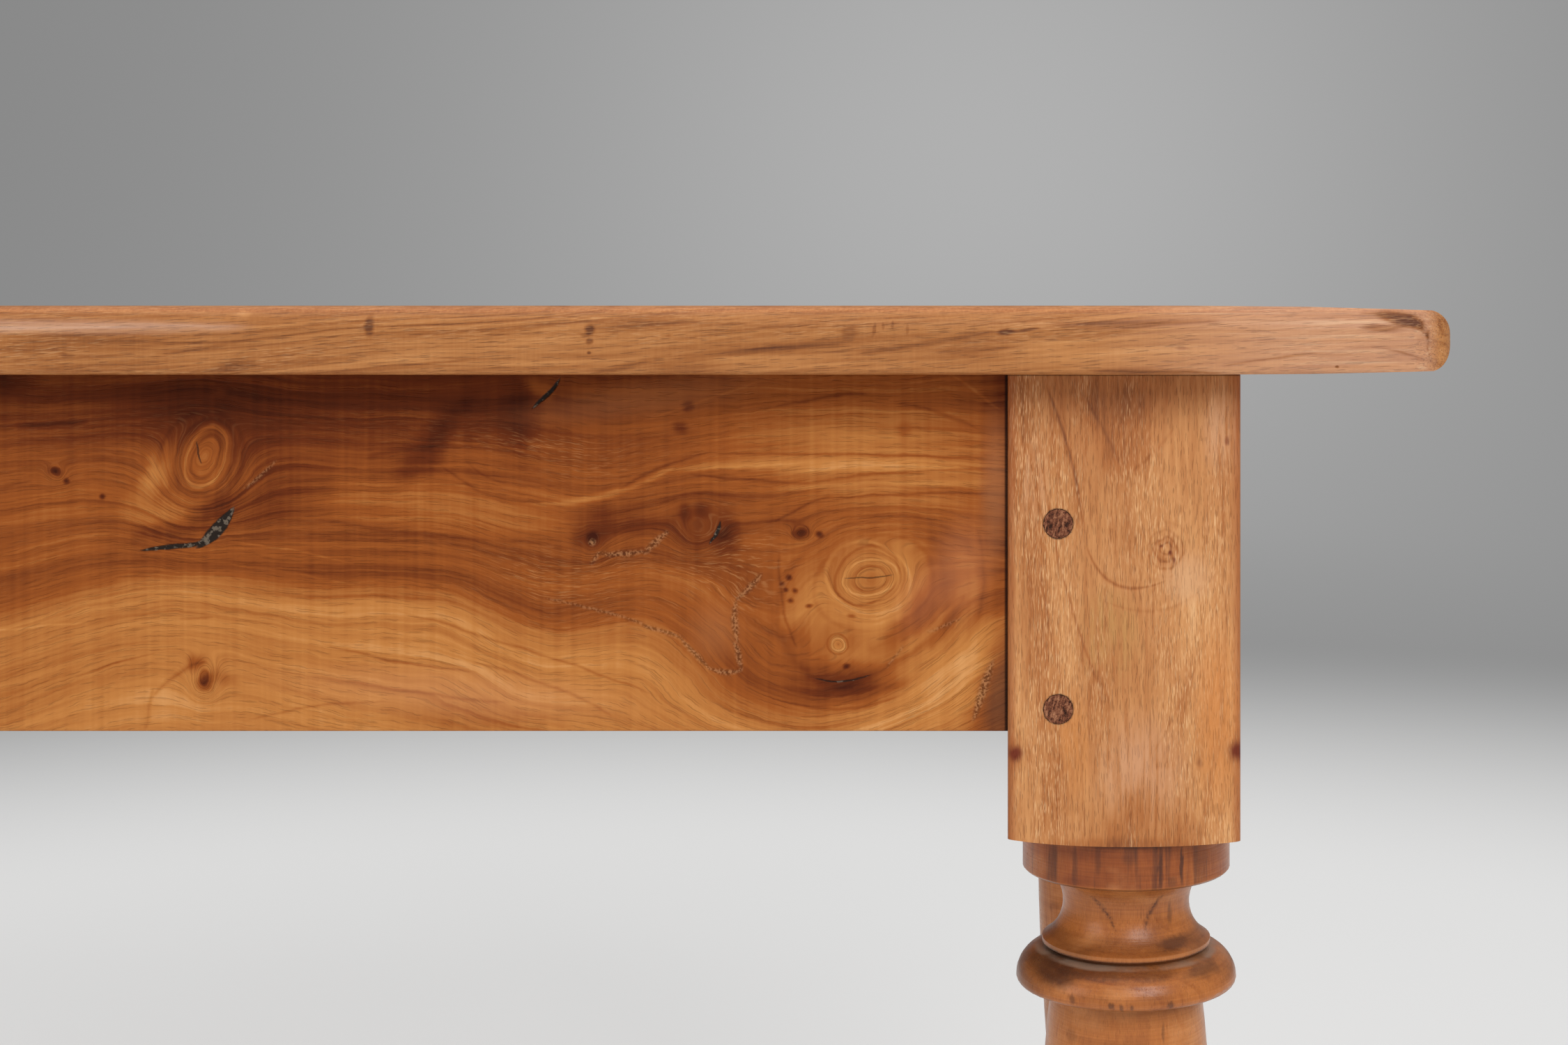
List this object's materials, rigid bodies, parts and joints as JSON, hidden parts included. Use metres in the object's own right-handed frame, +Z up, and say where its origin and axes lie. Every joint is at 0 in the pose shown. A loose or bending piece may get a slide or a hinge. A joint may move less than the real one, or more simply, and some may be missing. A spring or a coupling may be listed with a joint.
{
  "type": "dining table",
  "caption": "Rectangular farmhouse dining table of solid wood: a top of lengthwise boards on a pegged frame of plain aprons and turned legs.",
  "frame": {"origin": "on the floor, under the middle of the table", "axes": "+Z up, X along the table's length with +X at the right-hand end of the front, -Y towards the front long side"},
  "size_m": [1.9002, 0.74, 0.76],
  "materials": {
    "top_wood": "waxed and worn, satin, with long grain and small dark marks",
    "apron_wood": "waxed, satin, flat-sawn with large knots and flowing grain",
    "leg_wood": "waxed, satin, straight grain with fine pale flecks, redder on the turned part",
    "peg_wood": "dark end grain",
    "plain_wood": "planed, unwaxed",
    "screw_steel": "dull, darkened with age"
  },
  "bodies": {
    "root": {"top_board_front": "top_wood", "top_board_front_middle": "top_wood", "top_board_rear_middle": "top_wood", "top_board_rear": "top_wood", "top_tongue_front": "plain_wood", "top_tongue_middle": "plain_wood", "top_tongue_rear": "plain_wood", "leg_front_left": "leg_wood", "leg_front_right": "leg_wood", "leg_rear_left": "leg_wood", "leg_rear_right": "leg_wood", "apron_front": "apron_wood", "apron_rear": "apron_wood", "apron_left": "apron_wood", "apron_right": "apron_wood", "cross_bearer_left": "plain_wood", "cross_bearer_right": "plain_wood", "pegs_front_left": "peg_wood", "pegs_front_right": "peg_wood", "pegs_rear_left": "peg_wood", "pegs_rear_right": "peg_wood", "top_buttons_front": "plain_wood", "top_buttons_rear": "plain_wood", "top_buttons_left": "plain_wood", "top_buttons_right": "plain_wood", "button_screws": "screw_steel", "bearer_screws_left": "screw_steel", "bearer_screws_right": "screw_steel"}
  },
  "joints": []
}
